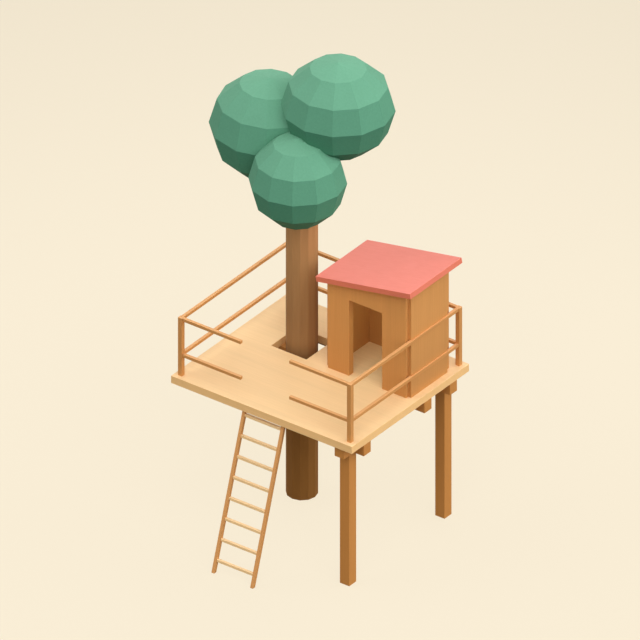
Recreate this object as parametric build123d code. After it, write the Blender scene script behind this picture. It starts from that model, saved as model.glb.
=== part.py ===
from build123d import *
import math
import os

# A tree house: a deck carried by a tree trunk and two legs, with a small cabin on it, rails
# round it and a ladder up to it. Units are millimetres, +Z is up and the floor is at z = 0.
# The origin is the middle of the trunk's foot. The ladder is at the front, which is -Y.

# Trunk
TRUNK_RADIUS = 216
TRUNK_SIDES = 12
TRUNK_ABOVE_DECK = 2870

# Deck, with a square hole that leaves room round the trunk
DECK_X = 2990
DECK_Y = 2600
DECK_THICK = 114
UNDERSIDE_Z = 2208
TRUNK_FROM_RIGHT = 2086
TRUNK_FROM_BACK = 909
TRUNK_ROOM = 76.5

# Legs and the timbers under the deck
LEG = 156
LEG_INSET = 244
TIMBER_WIDE = 156
TIMBER_HIGH = 169
BEAM_END_INSET = 49
JOIST_INSET = 345

# Rails
POST = 65
POST_HIGH = 903
POST_INSET = 97.5
RAIL = 46
LOWER_RAIL_TOP = 346
GAP_WIDE = 804

# Ladder
STILE = 48
STILE_SPACING = 640
LEAN_PER_MM = 0.315
STILE_TOP_FROM_EDGE = 71
RUNG = 40
RUNG_PITCH = 280
TOP_RUNG_BELOW_DECK = 76
ROOM_UNDER_LOWEST_RUNG = 100

# Cabin, whose right wall is let into the right-hand rails
WALL = 97.5
FRONT_WALL_WIDE = 1292
CABIN_DEEP = 949
CABIN_FROM_BACK = 246
RAIL_LET_IN = 19
DOOR_WIDE = 546
DOOR_HIGH = 1181
DOOR_OFF_CENTRE = -26

# Roof
ROOF_THICK = 78
ROOF_PITCH = 10.94
ROOF_PAST_SIDES = 86
ROOF_PAST_ENDS = 100
ROOF_UNDER_MIDDLE = 1496

# Crown: faceted shells of leaves. Each ball gives its middle's place from the middle of the
# trunk's top, its half widths along X and Y, its half height and how many degrees its facets
# are turned.
LEAF_SKIN = 50
BALL_SEGMENTS = 12
BALL_RINGS = 6
FRONT_BALL = (180, -334, -97, 662, 657, 654, 0)
RIGHT_BALL = (328, 364, 753, 773, 753, 699, 0)
LEFT_BALL = (-694, 216, 147, 835, 765, 757, 1)

HOLE = 2 * (TRUNK_RADIUS + TRUNK_ROOM)
DECK_TOP = UNDERSIDE_Z + DECK_THICK
TRUNK_TOP = DECK_TOP + TRUNK_ABOVE_DECK
DECK_RIGHT = TRUNK_FROM_RIGHT
DECK_LEFT = DECK_RIGHT - DECK_X
DECK_BACK = TRUNK_FROM_BACK
DECK_FRONT = DECK_BACK - DECK_Y
DECK_MIDDLE_X = (DECK_LEFT + DECK_RIGHT) / 2
LEG_X = DECK_RIGHT - LEG_INSET
LEG_YS = {"front": DECK_FRONT + LEG_INSET, "back": DECK_BACK - LEG_INSET}
JOIST_YS = {"front": DECK_FRONT + JOIST_INSET, "middle": 0, "back": DECK_BACK - JOIST_INSET}
TIMBER_Z = UNDERSIDE_Z - TIMBER_HIGH
HALF_LAP_Z = UNDERSIDE_Z - TIMBER_HIGH / 2
RAIL_LEFT = DECK_LEFT + POST_INSET
RAIL_RIGHT = DECK_RIGHT - POST_INSET
RAIL_FRONT = DECK_FRONT + POST_INSET
RAIL_BACK = DECK_BACK - POST_INSET
SIDE_OUT = (FRONT_WALL_WIDE + WALL) / 2
CABIN_X = RAIL_RIGHT - RAIL / 2 + RAIL_LET_IN - SIDE_OUT
CABIN_BACK = DECK_BACK - CABIN_FROM_BACK
CABIN_FRONT = CABIN_BACK - CABIN_DEEP
BACK_WALL_FRONT = CABIN_BACK - WALL

os.makedirs("parts", exist_ok=True)


def save(shape, node):
    export_step(shape, f"parts/{node}.step")


def block(x0, x1, y0, y1, z0, z1):
    """A box between two opposite corners."""
    middle = ((x0 + x1) / 2, (y0 + y1) / 2, (z0 + z1) / 2)
    return Pos(*middle) * Box(abs(x1 - x0), abs(y1 - y0), abs(z1 - z0))


def trunk():
    """The trunk, one prism from the ground up into the front ball."""
    return extrude(RegularPolygon(TRUNK_RADIUS, TRUNK_SIDES), TRUNK_TOP, dir=(0, 0, 1))


def ball(place, grow=0):
    """A solid ball of flat facets: rings of equal steps from pole to pole."""
    x, y, up, half_x, half_y, half_height, turn = place
    z = TRUNK_TOP + up
    rows = []
    for ring in range(1, BALL_RINGS):
        down = math.pi * ring / BALL_RINGS
        level = z + (half_height + grow) * math.cos(down)
        out_x = (half_x + grow) * math.sin(down)
        out_y = (half_y + grow) * math.sin(down)
        row = []
        for step in range(BALL_SEGMENTS):
            around = math.radians(turn) + 2 * math.pi * step / BALL_SEGMENTS
            row.append((x + out_x * math.cos(around), y + out_y * math.sin(around), level))
        rows.append(row)
    top = (x, y, z + half_height + grow)
    bottom = (x, y, z - half_height - grow)
    faces = []
    for step in range(BALL_SEGMENTS):
        after = (step + 1) % BALL_SEGMENTS
        faces.append([top, rows[0][step], rows[0][after]])
        faces.append([bottom, rows[-1][after], rows[-1][step]])
        for upper, lower in zip(rows, rows[1:]):
            faces.append([upper[step], lower[step], lower[after], upper[after]])
    skins = [Face(Wire.make_polygon(points, close=True)) for points in faces]
    return Solid(Shell(skins))


def crown():
    """Three hollow balls that close on each other face to face, open where the trunk comes in."""
    stem = trunk()
    front = ball(FRONT_BALL)
    right = ball(RIGHT_BALL)
    left = ball(LEFT_BALL)
    return {
        "front": front - ball(FRONT_BALL, -LEAF_SKIN) - stem,
        "right": right - ball(RIGHT_BALL, -LEAF_SKIN) - front - stem,
        "left": left - ball(LEFT_BALL, -LEAF_SKIN) - front - right - stem,
    }


def deck():
    board = block(DECK_LEFT, DECK_RIGHT, DECK_FRONT, DECK_BACK, UNDERSIDE_Z, DECK_TOP)
    return board - block(-HOLE / 2, HOLE / 2, -HOLE / 2, HOLE / 2, UNDERSIDE_Z, DECK_TOP)


def leg(y):
    return block(LEG_X - LEG / 2, LEG_X + LEG / 2, y - LEG / 2, y + LEG / 2, 0, TIMBER_Z)


def crossing(y, z0, z1):
    """Where a joist crosses the side beam, between two levels."""
    half = TIMBER_WIDE / 2
    return block(LEG_X - half, LEG_X + half, y - half, y + half, z0, z1)


def side_beam():
    """The beam on the two legs, lapped at the top for each joist."""
    left = LEG_X - TIMBER_WIDE / 2
    right = LEG_X + TIMBER_WIDE / 2
    front = DECK_FRONT + BEAM_END_INSET
    back = DECK_BACK - BEAM_END_INSET
    beam = block(left, right, front, back, TIMBER_Z, UNDERSIDE_Z)
    for y in JOIST_YS.values():
        beam -= crossing(y, HALF_LAP_Z, UNDERSIDE_Z)
    return beam


def joist(y):
    """A joist across the deck, lapped from below over the side beam."""
    front = y - TIMBER_WIDE / 2
    back = y + TIMBER_WIDE / 2
    timber = block(DECK_LEFT, DECK_RIGHT, front, back, TIMBER_Z, UNDERSIDE_Z)
    return timber - crossing(y, TIMBER_Z, HALF_LAP_Z)


def middle_joists():
    """The middle joist's two lengths, each cut to the trunk's facets."""
    lengths = joist(JOIST_YS["middle"]) - trunk()
    left, right = sorted(lengths.solids(), key=lambda solid: solid.center().X)
    return {"left": left, "right": right}


def rail_post(x, y):
    half = POST / 2
    return block(x - half, x + half, y - half, y + half, DECK_TOP, DECK_TOP + POST_HIGH)


def rail_along_x(x0, x1, y, top):
    return block(x0, x1, y - RAIL / 2, y + RAIL / 2, top - RAIL, top)


def rail_along_y(x, top):
    front = RAIL_FRONT + POST / 2
    back = RAIL_BACK - POST / 2
    return block(x - RAIL / 2, x + RAIL / 2, front, back, top - RAIL, top)


def rails(top):
    """All the rails at one level. The front ones stop short to leave the way in."""
    left = RAIL_LEFT + POST / 2
    right = RAIL_RIGHT - POST / 2
    gap_left = DECK_MIDDLE_X - GAP_WIDE / 2
    gap_right = DECK_MIDDLE_X + GAP_WIDE / 2
    return {
        "front_left": rail_along_x(left, gap_left, RAIL_FRONT, top),
        "front_right": rail_along_x(gap_right, right, RAIL_FRONT, top),
        "back": rail_along_x(left, right, RAIL_BACK, top),
        "left": rail_along_y(RAIL_LEFT, top),
        "right": rail_along_y(RAIL_RIGHT, top) - side_wall(1),
    }


def ladder_y(z):
    """How far back the ladder's middle line is at a height."""
    return DECK_FRONT + STILE_TOP_FROM_EDGE - LEAN_PER_MM * (UNDERSIDE_Z - z)


def ladder_stile(x):
    """A stile from the floor to the underside of the deck, with both ends cut level."""
    half = STILE * math.hypot(1, LEAN_PER_MM) / 2
    foot = ladder_y(0)
    head = ladder_y(UNDERSIDE_Z)
    outline = Polyline(
        (foot - half, 0),
        (foot + half, 0),
        (head + half, UNDERSIDE_Z),
        (head - half, UNDERSIDE_Z),
        close=True,
    )
    side = make_face(Plane.YZ * outline)
    return Pos(x - STILE / 2, 0, 0) * extrude(side, STILE, dir=(1, 0, 0))


def ladder_rung(z):
    """A level rung between the stiles."""
    reach = (STILE_SPACING - STILE) / 2
    left = DECK_MIDDLE_X - reach
    right = DECK_MIDDLE_X + reach
    y = ladder_y(z)
    return block(left, right, y - RUNG / 2, y + RUNG / 2, z - RUNG / 2, z + RUNG / 2)


def rung_heights():
    """The rungs' middles, from the top one down as far as there is room."""
    heights = []
    z = UNDERSIDE_Z - TOP_RUNG_BELOW_DECK
    while z > ROOM_UNDER_LOWEST_RUNG:
        heights.append(z)
        z -= RUNG_PITCH
    return heights


def on_roof_underside(shape):
    """Sets a shape on the pitched plane of the roof's underside, over the cabin's middle."""
    middle = (CABIN_X, (CABIN_FRONT + CABIN_BACK) / 2, DECK_TOP + ROOF_UNDER_MIDDLE)
    return Pos(*middle) * Rot(0, -ROOF_PITCH, 0) * shape


def roof():
    """The roof slab, pitched up to the right, with its top centred over the cabin."""
    pitch = math.radians(ROOF_PITCH)
    long = 2 * (SIDE_OUT + ROOF_PAST_SIDES) / math.cos(pitch)
    deep = CABIN_DEEP + 2 * ROOF_PAST_ENDS
    uphill = ROOF_THICK * math.tan(pitch)
    return on_roof_underside(Pos(uphill, 0, ROOF_THICK / 2) * Box(long, deep, ROOF_THICK))


def above_roof_underside():
    """A tall block that stands on the roof's underside, to cut the wall tops to the pitch."""
    wide = 2 * (CABIN_DEEP + 2 * SIDE_OUT)
    tall = 2 * (ROOF_UNDER_MIDDLE + SIDE_OUT)
    return on_roof_underside(Pos(0, 0, tall / 2) * Box(wide, wide, tall))


def wall(x0, x1, y0, y1):
    """A wall from the deck up to the roof's underside."""
    tall = DECK_TOP + ROOF_UNDER_MIDDLE + SIDE_OUT
    return block(x0, x1, y0, y1, DECK_TOP, tall) - above_roof_underside()


def wall_across(front):
    """A wall as wide as the front wall, with no doorway."""
    half = FRONT_WALL_WIDE / 2
    return wall(CABIN_X - half, CABIN_X + half, front, front + WALL)


def doorway():
    middle = CABIN_X + DOOR_OFF_CENTRE
    left = middle - DOOR_WIDE / 2
    right = middle + DOOR_WIDE / 2
    back = CABIN_FRONT + WALL
    return block(left, right, CABIN_FRONT, back, DECK_TOP, DECK_TOP + DOOR_HIGH)


def side_wall(side):
    """A side wall lapped over half the front wall's end and butted on the back wall."""
    outer = CABIN_X + side * SIDE_OUT
    inner = outer - side * WALL
    start = CABIN_FRONT + WALL / 2
    return wall(inner, outer, start, BACK_WALL_FRONT) - wall_across(CABIN_FRONT)


save(trunk(), "trunk")
for name, shell in crown().items():
    save(shell, f"crown_{name}")

save(deck(), "deck")
save(side_beam(), "side_beam")
for name, y in LEG_YS.items():
    save(leg(y), f"leg_{name}")
for name in ("front", "back"):
    save(joist(JOIST_YS[name]), f"joist_{name}")
for name, length in middle_joists().items():
    save(length, f"joist_middle_{name}")

for side, x in (("left", RAIL_LEFT), ("right", RAIL_RIGHT)):
    for end, y in (("front", RAIL_FRONT), ("back", RAIL_BACK)):
        save(rail_post(x, y), f"rail_post_{end}_{side}")
for level, height in (("top", POST_HIGH), ("lower", LOWER_RAIL_TOP)):
    for name, rail in rails(DECK_TOP + height).items():
        save(rail, f"rail_{name}_{level}")

for name, side in (("left", -1), ("right", 1)):
    save(ladder_stile(DECK_MIDDLE_X + side * STILE_SPACING / 2), f"ladder_stile_{name}")
for number, z in enumerate(rung_heights(), start=1):
    save(ladder_rung(z), f"ladder_rung_{number}")

save(wall_across(CABIN_FRONT) - doorway(), "cabin_wall_front")
save(wall_across(BACK_WALL_FRONT), "cabin_wall_back")
save(side_wall(-1), "cabin_wall_left")
save(side_wall(1), "cabin_wall_right")
save(roof(), "roof")
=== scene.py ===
import math

import bpy
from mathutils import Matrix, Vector

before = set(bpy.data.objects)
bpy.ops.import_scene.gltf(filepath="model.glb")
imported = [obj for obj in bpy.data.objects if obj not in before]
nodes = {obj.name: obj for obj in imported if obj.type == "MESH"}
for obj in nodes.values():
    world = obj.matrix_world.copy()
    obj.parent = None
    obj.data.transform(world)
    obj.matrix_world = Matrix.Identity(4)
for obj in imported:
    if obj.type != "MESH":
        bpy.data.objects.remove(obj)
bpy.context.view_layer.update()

# The view is a parallel one from the front right, a third of the way up. Lengths are in metres.
VIEW_AZIMUTH = math.radians(36.74)
VIEW_ELEVATION = math.radians(31.888)
VIEW_WIDTH = 8.481
VIEW_CENTRE = Vector((0.4458, -0.1976, 2.9477))
CAMERA_AWAY = 20.0

# Surface colours, 0 to 255. Each wood and the roof have a colour with painted light for faces that look
# up and a deeper one, without it, for the rest.
BARK_HIGH = (177, 132, 84)
BARK_SHADED_LOW = (169, 112, 48)
LEAVES = (111, 171, 140)
LEAVES_SHADED_UNDER = (40, 111, 83)
PALE_WOOD = ((248, 209, 155), (243, 195, 131))
FRAME_WOOD = ((199, 140, 76), (193, 129, 62))
RAIL_WOOD = ((229, 169, 109), (203, 142, 79))
RUNG_WOOD = ((251, 212, 158), (250, 208, 148))
CABIN_WOOD = ((211, 152, 88), (211, 148, 82))
ROOF_PAINT = ((247, 138, 121), (221, 119, 91))
GROUND = (250, 238, 214)

# How far a face looks up is the height of its normal, from -1 to 1. It takes none of the upper colour,
# with its painted light, at the first value and all of it at the second. Leaves turn from their under
# colour, a painted shade, to their top one over a wider range, and their lowest facets get more painted
# shade, darker still.
LOOKS_UP = (0.1, 0.7)
LEAVES_TURN = (-0.9, 1.0)
LEAVES_LOWEST_SHADE = (-0.8, -0.2)
LEAVES_LOWEST_SHADE_TONE = 0.75

# The bark changes from its low colour, a browner painted shade under the deck, to its high colour
# between two heights. Between two further up it goes from a painted shade, its dark tone, to its full
# one.
BARK_TURNS = (1.7, 2.5)
BARK_SHADE_FADES = (2.7, 4.0)
BARK_SHADE_TONE = 0.65

# The cabin's walls get painted shade at their foot, darker there, and reach their full tone between two
# heights.
WALL_FOOT_SHADE = (2.4, 3.4)
WALL_FOOT_SHADE_TONE = 0.83

# Spots of noise per metre, along and across the grain or along X, Y and Z. The grain's broad
# changes are larger than its lines by a factor.
GRAIN_LENGTHWISE = 1.2
GRAIN_ACROSS = 55
BROADER = 12
FURROWS = (22, 22, 2.0)
BARK_PATCHES = (3, 3, 1.0)
LEAF_SPOTS = (38, 38, 38)
BRUSH_MARKS = (2.0, 30, 30)
SOFT_PATCHES = (2.5, 2.5, 2.5)

# How many finer layers each noise has, how strong they are, and where its values mostly lie.
GRAIN_DETAIL = 5.0
FURROW_DETAIL = 6.0
LEAF_DETAIL = 4.0
BRUSH_DETAIL = 4.0
PATCH_DETAIL = 2.0
DETAIL_STRENGTH = 0.55
NOISE_MOSTLY = (0.3, 0.7)

# How far each noise darkens and lightens a colour.
GRAIN_TONE = (0.965, 1.03)
BROAD_TONE = (0.975, 1.02)
FURROW_TONE = (0.95, 1.04)
BARK_PATCH_TONE = (0.98, 1.02)
LEAF_PATCH_TONE = (0.985, 1.015)
BRUSH_TONE = (0.985, 1.015)
ROOF_PATCH_TONE = (0.985, 1.01)

# Worn edges: how far they reach and how much lighter they are. Within that reach the rounded
# normal leans away from the flat one, and the wear is full at this cosine of the angle.
WOOD_WEAR = (0.012, 1.06)
ROOF_WEAR = (0.01, 1.05)
FULL_EDGE = 0.85
WEAR_SAMPLES = 4

# The specular level of all surfaces, and for each one its roughness in the hollows and on the
# ridges and the depth of its bump.
SPECULAR = 0.25
WOOD_ROUGH = (0.62, 0.52)
BARK_ROUGH = (0.9, 0.8)
LEAF_ROUGH = (0.85, 0.75)
ROOF_ROUGH = (0.62, 0.5)
WOOD_BUMP = 0.0006
BARK_BUMP = 0.003
LEAF_BUMP = 0.0015
ROOF_BUMP = 0.0006

# The floor that the camera sees is mostly its own pale colour, with a faint shadow on it. What
# it sends up to the object is a dark grey, as from a floor that the lamps hardly reach. Its
# colour is even near the object, and falls to the far level between two distances, a painted shade far
# away.
FLOOR_SHADOW = 0.12
FLOOR_BOUNCE = 0.1
FLOOR_ROUGHNESS = 0.9
FLOOR_EVEN = 5.0
FLOOR_EDGE = 16.0
FAR_SHADE_LEVEL = 0.9

# Soft lamps, each with the direction it stands in: degrees round from +X, degrees up, the share
# of full light that it gives a face turned to it and how many degrees wide it is. SKY is the
# faint, even light from everywhere else.
SKY = 0.02
LAMPS = {
    "front": (-44, 40, 0.77, 70),
    "right": (30, 15, 0.58, 60),
    "left": (210, 40, 0.42, 60),
    "back": (90, 40, 0.26, 60),
    "far": (140, 15, 0.32, 60),
}

# A weak, greenish lamp under the cabin's ceiling, so that the floor shows through the doorway.
INDOORS_PLACE = (1.3, 0.2, 3.35)
INDOORS_WIDTH = 0.5
INDOORS_WATTS = 1.6
INDOORS_COLOUR = (0.78, 1.0, 0.8)

# How far the edges of the timber and the roof are rounded, where two faces meet at more than the
# least angle. Corners closer than the join distance are one corner.
EDGE_ROUND = 0.003
EDGE_STEPS = 2
EDGE_LEAST_ANGLE = math.radians(30)
JOIN_DISTANCE = 0.0001

# Half the floor's width.
FLOOR_HALF = 60.0

# The ladder's stiles lean out by this share of their height.
STILE_SLOPE = 0.315

# Sockets of the Mix node that share a name with others, so that only their number tells them.
MIX_FIRST, MIX_SECOND, MIX_RESULT = 6, 7, 2


def linear(colour):
    """A colour written 0 to 255, as on a screen, in Blender's linear values, by the sRGB curve."""
    def one(value):
        value /= 255
        return value / 12.92 if value <= 0.04045 else ((value + 0.055) / 1.055) ** 2.4
    return [one(value) for value in colour] + [1.0]


def add_node(tree, kind, links=(), **values):
    """A new node, its settings made, and each named input joined to a socket or given a value."""
    node = tree.nodes.new(kind)
    for key, value in values.items():
        setattr(node, key, value)
    for socket, source in links:
        if hasattr(source, "links"):
            tree.links.new(source, node.inputs[socket])
        else:
            node.inputs[socket].default_value = source
    return node


class Graph:
    """A material's node tree, with short calls for the nodes used here."""

    def __init__(self, name):
        self.material = bpy.data.materials.new(name)
        self.material.use_nodes = True
        self.tree = self.material.node_tree
        self.shader = self.tree.nodes["Principled BSDF"]
        self.shader.inputs["Specular IOR Level"].default_value = SPECULAR
        self.place = self.add("ShaderNodeTexCoord").outputs["Object"]
        self.facing = self.add("ShaderNodeNewGeometry").outputs["True Normal"]

    def add(self, kind, links=(), **values):
        """A new node in this material."""
        return add_node(self.tree, kind, links, **values)

    def vertical(self, vector):
        """The Z part of a place or a direction."""
        return self.add("ShaderNodeSeparateXYZ", [(0, vector)]).outputs["Z"]

    def noise(self, stretch, detail, turn=(0.0, 0.0, 0.0)):
        """Noise with that many spots per metre along each axis, from 0 to 1."""
        turned = self.add("ShaderNodeMapping", [("Vector", self.place), ("Rotation", turn)])
        scaled = self.add("ShaderNodeMapping", [("Vector", turned.outputs[0]), ("Scale", stretch)])
        made = self.add("ShaderNodeTexNoise", [("Vector", scaled.outputs[0]), ("Scale", 1.0),
                                               ("Detail", detail), ("Roughness", DETAIL_STRENGTH)])
        return made.outputs["Fac"]

    def ramp(self, source, ends, values, smooth=False):
        """A value that goes from the first of two to the second as the source goes between its ends."""
        kind = "SMOOTHSTEP" if smooth else "LINEAR"
        made = self.add("ShaderNodeMapRange", [("Value", source), ("From Min", ends[0]),
                                               ("From Max", ends[1]), ("To Min", values[0]),
                                               ("To Max", values[1])], interpolation_type=kind)
        return made.outputs["Result"]

    def spread(self, noise, values):
        """Noise brought to the range between two values."""
        return self.ramp(noise, NOISE_MOSTLY, values)

    def times(self, *factors):
        """The product of sockets and numbers."""
        product = factors[0]
        for factor in factors[1:]:
            product = self.add("ShaderNodeMath", [(0, product), (1, factor)],
                               operation="MULTIPLY").outputs[0]
        return product

    def mix(self, first, second, share):
        """The first of two linear colours where the share is 0, the second where it is 1."""
        made = self.add("ShaderNodeMix", [("Factor", share), (MIX_FIRST, first), (MIX_SECOND, second)],
                        data_type="RGBA")
        return made.outputs[MIX_RESULT]

    def blend(self, first, second, share):
        """The same for colours written 0 to 255."""
        return self.mix(linear(first), linear(second), share)

    def painted_light_by_facing(self, colours):
        """The first colour, with painted light, where a face looks up, the second where it doesn't."""
        share = self.ramp(self.vertical(self.facing), LOOKS_UP, (0.0, 1.0))
        return self.blend(colours[1], colours[0], share)

    def worn_edges(self, wear):
        """1 on flat faces, and more along edges."""
        reach, lift = wear
        rounded = self.add("ShaderNodeBevel", [("Radius", reach)], samples=WEAR_SAMPLES)
        same = self.add("ShaderNodeVectorMath", [(0, rounded.outputs[0]), (1, self.facing)],
                        operation="DOT_PRODUCT")
        return self.ramp(same.outputs["Value"], (1.0, FULL_EDGE), (1.0, lift))

    def finish(self, colour, factor, roughness, height, depth):
        """The colour made darker or lighter by a factor, with that roughness and bump."""
        made = self.add("ShaderNodeVectorMath", [(0, colour), ("Scale", factor)], operation="SCALE")
        self.tree.links.new(made.outputs[0], self.shader.inputs["Base Color"])
        self.tree.links.new(roughness, self.shader.inputs["Roughness"])
        bump = self.add("ShaderNodeBump", [("Height", height), ("Strength", 1.0), ("Distance", depth)])
        self.tree.links.new(bump.outputs[0], self.shader.inputs["Normal"])
        return self.material


# The grain's noise along each axis and along the leaning stiles: its stretch and its turn.
GRAIN_ALONG = {
    "x": ((GRAIN_LENGTHWISE, GRAIN_ACROSS, GRAIN_ACROSS), (0, 0, 0)),
    "y": ((GRAIN_ACROSS, GRAIN_LENGTHWISE, GRAIN_ACROSS), (0, 0, 0)),
    "z": ((GRAIN_ACROSS, GRAIN_ACROSS, GRAIN_LENGTHWISE), (0, 0, 0)),
    "lean": ((GRAIN_ACROSS, GRAIN_ACROSS, GRAIN_LENGTHWISE), (math.atan(STILE_SLOPE), 0, 0)),
}
made_materials = {}


def wood(name, colours, along, foot=1.0):
    """Planed wood with fine grain along one axis, broad changes of tone, lighter, worn edges and
    painted light on faces that look up. Its foot may have painted shade, darker than the rest by a
    factor."""
    key = f"{name}_{along}"
    if key not in made_materials:
        graph = Graph(key)
        stretch, turn = GRAIN_ALONG[along]
        grain = graph.noise(stretch, GRAIN_DETAIL, turn)
        broad = graph.noise([value / BROADER for value in stretch], PATCH_DETAIL, turn)
        tone = graph.times(graph.spread(grain, GRAIN_TONE), graph.spread(broad, BROAD_TONE),
                           graph.worn_edges(WOOD_WEAR))
        # A factor below 1 paints shade at the foot, darker there.
        if foot < 1:
            tone = graph.times(tone, graph.ramp(graph.vertical(graph.place), WALL_FOOT_SHADE, (foot, 1.0)))
        rough = graph.spread(grain, WOOD_ROUGH)
        made_materials[key] = graph.finish(graph.painted_light_by_facing(colours), tone, rough, grain, WOOD_BUMP)
    return made_materials[key]


def bark():
    """Bark with long, shallow furrows, with painted shade: browner below the deck, darker above it,
    full under the crown.
    """
    graph = Graph("bark")
    furrows = graph.noise(FURROWS, FURROW_DETAIL)
    patches = graph.noise(BARK_PATCHES, PATCH_DETAIL)
    height = graph.vertical(graph.place)
    colour = graph.blend(BARK_SHADED_LOW, BARK_HIGH, graph.ramp(height, BARK_TURNS, (0.0, 1.0)))
    tone = graph.times(graph.spread(furrows, FURROW_TONE), graph.spread(patches, BARK_PATCH_TONE),
                       graph.ramp(height, BARK_SHADE_FADES, (BARK_SHADE_TONE, 1.0), smooth=True))
    return graph.finish(colour, tone, graph.spread(furrows, BARK_ROUGH), furrows, BARK_BUMP)


def leaves():
    """Dense leaves with painted light on top and painted shade underneath, a deeper green there."""
    graph = Graph("leaves")
    leaf = graph.noise(LEAF_SPOTS, LEAF_DETAIL)
    patches = graph.noise(SOFT_PATCHES, PATCH_DETAIL)
    upward = graph.vertical(graph.facing)
    colour = graph.blend(LEAVES_SHADED_UNDER, LEAVES, graph.ramp(upward, LEAVES_TURN, (0.0, 1.0)))
    tone = graph.times(graph.spread(leaf, GRAIN_TONE), graph.spread(patches, LEAF_PATCH_TONE),
                       graph.ramp(upward, LEAVES_LOWEST_SHADE, (LEAVES_LOWEST_SHADE_TONE, 1.0)))
    return graph.finish(colour, tone, graph.spread(leaf, LEAF_ROUGH), leaf, LEAF_BUMP)


def roof_paint():
    """Brushed paint, lighter along its worn edges, with painted light on faces that look up."""
    graph = Graph("roof_paint")
    brushed = graph.noise(BRUSH_MARKS, BRUSH_DETAIL)
    patches = graph.noise(SOFT_PATCHES, PATCH_DETAIL)
    tone = graph.times(graph.spread(brushed, BRUSH_TONE), graph.spread(patches, ROOF_PATCH_TONE),
                       graph.worn_edges(ROOF_WEAR))
    colour = graph.painted_light_by_facing(ROOF_PAINT)
    return graph.finish(colour, tone, graph.spread(brushed, ROOF_ROUGH), brushed, ROOF_BUMP)


def dress(node, material):
    """Gives a CAD node its material."""
    for slot in nodes[node].material_slots:
        slot.material = material


dress("trunk", bark())
crown_leaves = leaves()
for side in ("front", "right", "left"):
    dress(f"crown_{side}", crown_leaves)
dress("deck", wood("deck", PALE_WOOD, "x"))
dress("side_beam", wood("frame", FRAME_WOOD, "y"))
for end in ("front", "back", "middle_left", "middle_right"):
    dress(f"joist_{end}", wood("frame", FRAME_WOOD, "x"))
for end in ("front", "back"):
    dress(f"leg_{end}", wood("frame", FRAME_WOOD, "z"))
    for side in ("left", "right"):
        dress(f"rail_post_{end}_{side}", wood("rail", RAIL_WOOD, "z"))
for level in ("top", "lower"):
    for rail in ("front_left", "front_right", "back"):
        dress(f"rail_{rail}_{level}", wood("rail", RAIL_WOOD, "x"))
    for rail in ("left", "right"):
        dress(f"rail_{rail}_{level}", wood("rail", RAIL_WOOD, "y"))
for side in ("left", "right"):
    dress(f"ladder_stile_{side}", wood("rail", RAIL_WOOD, "lean"))
for name in nodes:
    if name.startswith("ladder_rung_"):
        dress(name, wood("rung", RUNG_WOOD, "x"))
for side in ("front", "back", "left", "right"):
    dress(f"cabin_wall_{side}", wood("cabin", CABIN_WOOD, "z", WALL_FOOT_SHADE_TONE))
dress("roof", roof_paint())


def ease_edges(piece):
    """Joins the corners that the piece's faces share, and rounds its edges a little."""
    join = piece.modifiers.new("join", "WELD")
    join.merge_threshold = JOIN_DISTANCE
    round_off = piece.modifiers.new("round", "BEVEL")
    round_off.width = EDGE_ROUND
    round_off.segments = EDGE_STEPS
    round_off.limit_method = "ANGLE"
    round_off.angle_limit = EDGE_LEAST_ANGLE


for name, piece in nodes.items():
    if not name.startswith(("trunk", "crown_")):
        ease_edges(piece)


def plain_view(add):
    """1 for what the camera sees, straight or in gloss or through glass, and 0 for bounced light."""
    path = add("ShaderNodeLightPath").outputs
    seen = path["Is Camera Ray"]
    for ray in ("Is Glossy Ray", "Is Transmission Ray"):
        seen = add("ShaderNodeMath", [(0, seen), (1, path[ray])], operation="MAXIMUM").outputs[0]
    return seen


def stage():
    """A wide, plain floor that the object stands on, with painted shade that makes it a little darker
    far away.
    """
    half = FLOOR_HALF
    mesh = bpy.data.meshes.new("floor")
    mesh.from_pydata([(-half, -half, 0), (half, -half, 0), (half, half, 0), (-half, half, 0)], [],
                     [(0, 1, 2, 3)])
    floor = bpy.data.objects.new("floor", mesh)
    bpy.context.collection.objects.link(floor)
    graph = Graph("floor")
    graph.shader.inputs["Roughness"].default_value = FLOOR_ROUGHNESS
    graph.shader.inputs["Specular IOR Level"].default_value = 0.0
    graph.shader.inputs["Emission Color"].default_value = linear(GROUND)
    seen = plain_view(graph.add)
    away = graph.add("ShaderNodeVectorMath", [(0, graph.place)], operation="LENGTH").outputs["Value"]
    far_shade = graph.ramp(away, (FLOOR_EVEN, FLOOR_EDGE), (1.0, FAR_SHADE_LEVEL), smooth=True)
    # In full light the lit floor gives FLOOR_SHADOW's share of what shows, and its glow the rest.
    full_light = SKY + sum(share * math.sin(math.radians(up)) for _, up, share, _ in LAMPS.values())
    shown = [value * FLOOR_SHADOW / full_light for value in linear(GROUND)[:3]]
    bright = graph.add("ShaderNodeVectorMath", [(0, shown), ("Scale", far_shade)], operation="SCALE")
    base = graph.mix([FLOOR_BOUNCE] * 3 + [1.0], bright.outputs[0], seen)
    graph.tree.links.new(base, graph.shader.inputs["Base Color"])
    glow = graph.times(seen, far_shade, 1 - FLOOR_SHADOW)
    graph.tree.links.new(glow, graph.shader.inputs["Emission Strength"])
    mesh.materials.append(graph.material)


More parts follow.
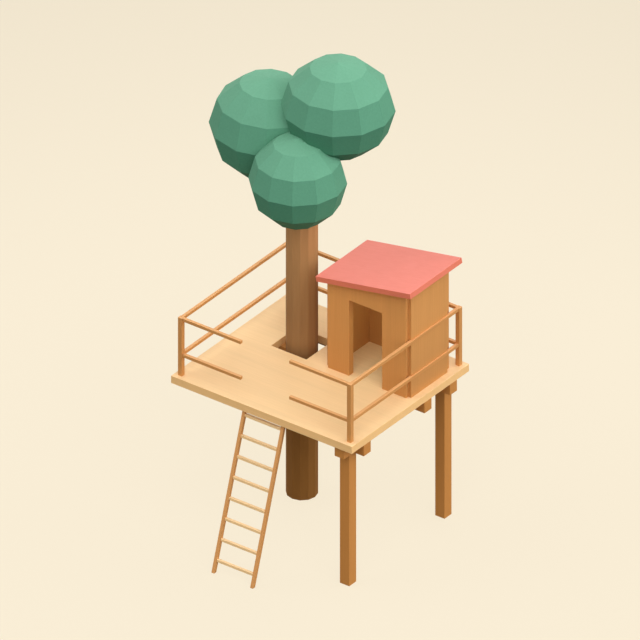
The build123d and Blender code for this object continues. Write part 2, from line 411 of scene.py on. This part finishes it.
def sky():
    """Faint, even light. The camera sees the far floor's colour there, with its painted shade."""
    world = bpy.data.worlds.new("sky")
    bpy.context.scene.world = world
    world.use_nodes = True
    world.node_tree.nodes.clear()

    def add(kind, links=(), **values):
        return add_node(world.node_tree, kind, links, **values)

    light = add("ShaderNodeBackground", [("Strength", SKY), ("Color", [1.0] * 4)])
    seen = add("ShaderNodeBackground", [("Strength", FAR_SHADE_LEVEL), ("Color", linear(GROUND))])
    choose = add("ShaderNodeMixShader", [("Fac", plain_view(add)), (1, light.outputs[0]),
                                         (2, seen.outputs[0])])
    add("ShaderNodeOutputWorld", [("Surface", choose.outputs[0])])


def lamp(name, around, up, share, wide):
    """A soft lamp, far away, in that direction. A sun of strength pi gives full light."""
    light = bpy.data.lights.new(name, "SUN")
    light.energy = math.pi * share
    light.angle = math.radians(wide)
    around, up = math.radians(around), math.radians(up)
    toward = Vector((math.cos(around) * math.cos(up), math.sin(around) * math.cos(up), math.sin(up)))
    made = bpy.data.objects.new(name, light)
    made.rotation_mode = "QUATERNION"
    made.rotation_quaternion = toward.to_track_quat("Z", "Y")
    bpy.context.collection.objects.link(made)


def lamp_indoors():
    """A soft disc of light that shines straight down and isn't seen itself."""
    light = bpy.data.lights.new("indoors", "AREA")
    light.shape = "DISK"
    light.size = INDOORS_WIDTH
    light.energy = INDOORS_WATTS
    light.color = INDOORS_COLOUR
    made = bpy.data.objects.new("indoors", light)
    made.location = INDOORS_PLACE
    made.visible_camera = False
    bpy.context.collection.objects.link(made)


def camera():
    """A parallel camera that looks at the view's centre."""
    back = Vector((math.sin(VIEW_AZIMUTH) * math.cos(VIEW_ELEVATION),
                   -math.cos(VIEW_AZIMUTH) * math.cos(VIEW_ELEVATION), math.sin(VIEW_ELEVATION)))
    lens = bpy.data.cameras.new("camera")
    lens.type = "ORTHO"
    lens.ortho_scale = VIEW_WIDTH
    made = bpy.data.objects.new("camera", lens)
    made.location = VIEW_CENTRE + back * CAMERA_AWAY
    made.rotation_mode = "QUATERNION"
    made.rotation_quaternion = back.to_track_quat("Z", "Y")
    bpy.context.collection.objects.link(made)
    bpy.context.scene.camera = made


stage()
sky()
for name, values in LAMPS.items():
    lamp(name, *values)
lamp_indoors()
camera()
bpy.context.scene.view_settings.view_transform = "Standard"
